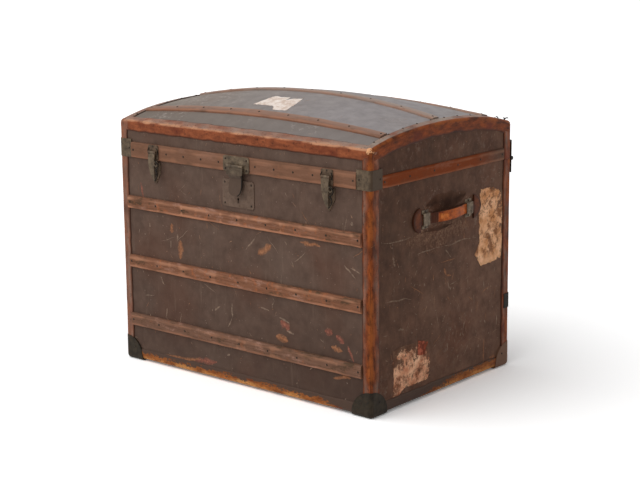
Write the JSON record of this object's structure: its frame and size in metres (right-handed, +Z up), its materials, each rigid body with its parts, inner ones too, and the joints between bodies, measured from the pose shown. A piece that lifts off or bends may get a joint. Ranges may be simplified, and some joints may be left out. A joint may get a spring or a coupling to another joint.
{
  "type": "dome top trunk",
  "caption": "Canvas-covered wooden trunk with a swelling dome lid on corner hinges, leather edging, slats, a hasp with lock, swinging catches and sliding strap handles.",
  "frame": {"origin": "middle of the trunk's footprint, on the floor", "axes": "+X to the right end, +Y to the back (hinges), +Z up; the hasp faces -Y"},
  "size_m": [0.854, 0.5962, 0.7175],
  "materials": {
    "boards": "bare planed pine",
    "canvas": "painted canvas, dull and scuffed",
    "lining": "plain paper-faced cloth, matt",
    "slat_wood": "stained wood, worn on its edges",
    "edging_leather": "waxed leather, rubbed",
    "strap_leather": "harness leather, cracked",
    "black_iron": "blackened iron",
    "worn_iron": "oxidised sheet iron",
    "nail_iron": "round heads, rubbed bright"
  },
  "bodies": {
    "chest": {"bottom_board": "boards", "front_board": "boards", "back_board": "boards", "left_end_board": "boards", "right_end_board": "boards", "chest_canvas": "canvas", "chest_lining": "lining", "dust_lip": "boards", "front_slat_upper": "slat_wood", "front_slat_middle": "slat_wood", "front_slat_lower": "slat_wood", "back_slats": "slat_wood", "floor_runners": "boards", "corner_edging": "edging_leather", "bottom_edging": "edging_leather", "corner_caps": "black_iron", "chest_nails": "nail_iron", "rear_clips": "black_iron", "lock_plate": "worn_iron", "lock_case": "worn_iron", "left_keeper": "worn_iron", "right_keeper": "worn_iron", "hinge_chest_leaves": "black_iron", "hinge_pins": "black_iron", "left_handle_loops": "worn_iron", "right_handle_loops": "worn_iron"},
    "lid": {"dome_staves": "boards", "lid_front_board": "boards", "lid_back_board": "boards", "lid_left_end_board": "boards", "lid_right_end_board": "boards", "lid_canvas": "canvas", "lid_lining": "lining", "front_band": "slat_wood", "back_band": "slat_wood", "end_bands": "slat_wood", "dome_slats": "slat_wood", "lid_front_edging": "edging_leather", "lid_back_edging": "edging_leather", "left_arch_edging": "edging_leather", "right_arch_edging": "edging_leather", "lid_corner_edging": "edging_leather", "lid_brackets": "worn_iron", "lid_nails": "nail_iron", "hinge_lid_leaves": "black_iron", "hasp_plate": "worn_iron", "clasp_pins": "worn_iron", "catch_plates": "worn_iron"},
    "hasp": {"hasp": "worn_iron"},
    "left_catch": {"left_catch_lever": "worn_iron"},
    "right_catch": {"right_catch_lever": "worn_iron"},
    "bolt": {"lock_bolt": "worn_iron"},
    "left_handle": {"left_grip": "strap_leather", "left_strap_bends": "strap_leather"},
    "right_handle": {"right_grip": "strap_leather", "right_strap_bends": "strap_leather"},
    "left_front_strap": {"left_front_tab": "strap_leather"},
    "left_rear_strap": {"left_rear_tab": "strap_leather"},
    "right_front_strap": {"right_front_tab": "strap_leather"},
    "right_rear_strap": {"right_rear_tab": "strap_leather"}
  },
  "joints": [
    {"name": "lid_hinge", "type": "hinge", "parent": "chest", "child": "lid", "pos_m": [0, 0.29306, 0.5423], "axis": [-1, 0, 0], "range_deg": [0, 100]},
    {"name": "hasp_swing", "type": "hinge", "parent": "lid", "child": "hasp", "pos_m": [0, -0.29334, 0.5586], "axis": [-1, 0, 0], "range_deg": [-9, 140]},
    {"name": "left_catch_swing", "type": "hinge", "parent": "lid", "child": "left_catch", "pos_m": [-0.287, -0.29334, 0.5646], "axis": [-1, 0, 0], "range_deg": [0, 150]},
    {"name": "right_catch_swing", "type": "hinge", "parent": "lid", "child": "right_catch", "pos_m": [0.287, -0.29334, 0.5646], "axis": [-1, 0, 0], "range_deg": [0, 150]},
    {"name": "lock_bolt_slide", "type": "slide", "parent": "chest", "child": "bolt", "axis": [-1, 0, 0], "range_m": [0, 0.009]},
    {"name": "left_handle_lift", "type": "slide", "parent": "chest", "child": "left_handle", "axis": [-1, 0, 0], "range_m": [0, 0.02], "deforming": ["left_strap_bends"]},
    {"name": "left_front_strap_slide", "type": "slide", "parent": "left_handle", "child": "left_front_strap", "axis": [0.9439, 0.3304, 0], "range_m": [0, 0.0212]},
    {"name": "left_rear_strap_slide", "type": "slide", "parent": "left_handle", "child": "left_rear_strap", "axis": [0.9439, -0.3304, 0], "range_m": [0, 0.0212]},
    {"name": "right_handle_lift", "type": "slide", "parent": "chest", "child": "right_handle", "axis": [1, 0, 0], "range_m": [0, 0.02], "deforming": ["right_strap_bends"]},
    {"name": "right_front_strap_slide", "type": "slide", "parent": "right_handle", "child": "right_front_strap", "axis": [-0.9439, 0.3304, 0], "range_m": [0, 0.0212]},
    {"name": "right_rear_strap_slide", "type": "slide", "parent": "right_handle", "child": "right_rear_strap", "axis": [-0.9439, -0.3304, 0], "range_m": [0, 0.0212]}
  ],
  "couplings": [
    {"joint": "left_front_strap_slide", "follows": "left_handle_lift", "ratio": 1.0595},
    {"joint": "left_rear_strap_slide", "follows": "left_handle_lift", "ratio": 1.0595},
    {"joint": "right_front_strap_slide", "follows": "right_handle_lift", "ratio": 1.0595},
    {"joint": "right_rear_strap_slide", "follows": "right_handle_lift", "ratio": 1.0595}
  ]
}
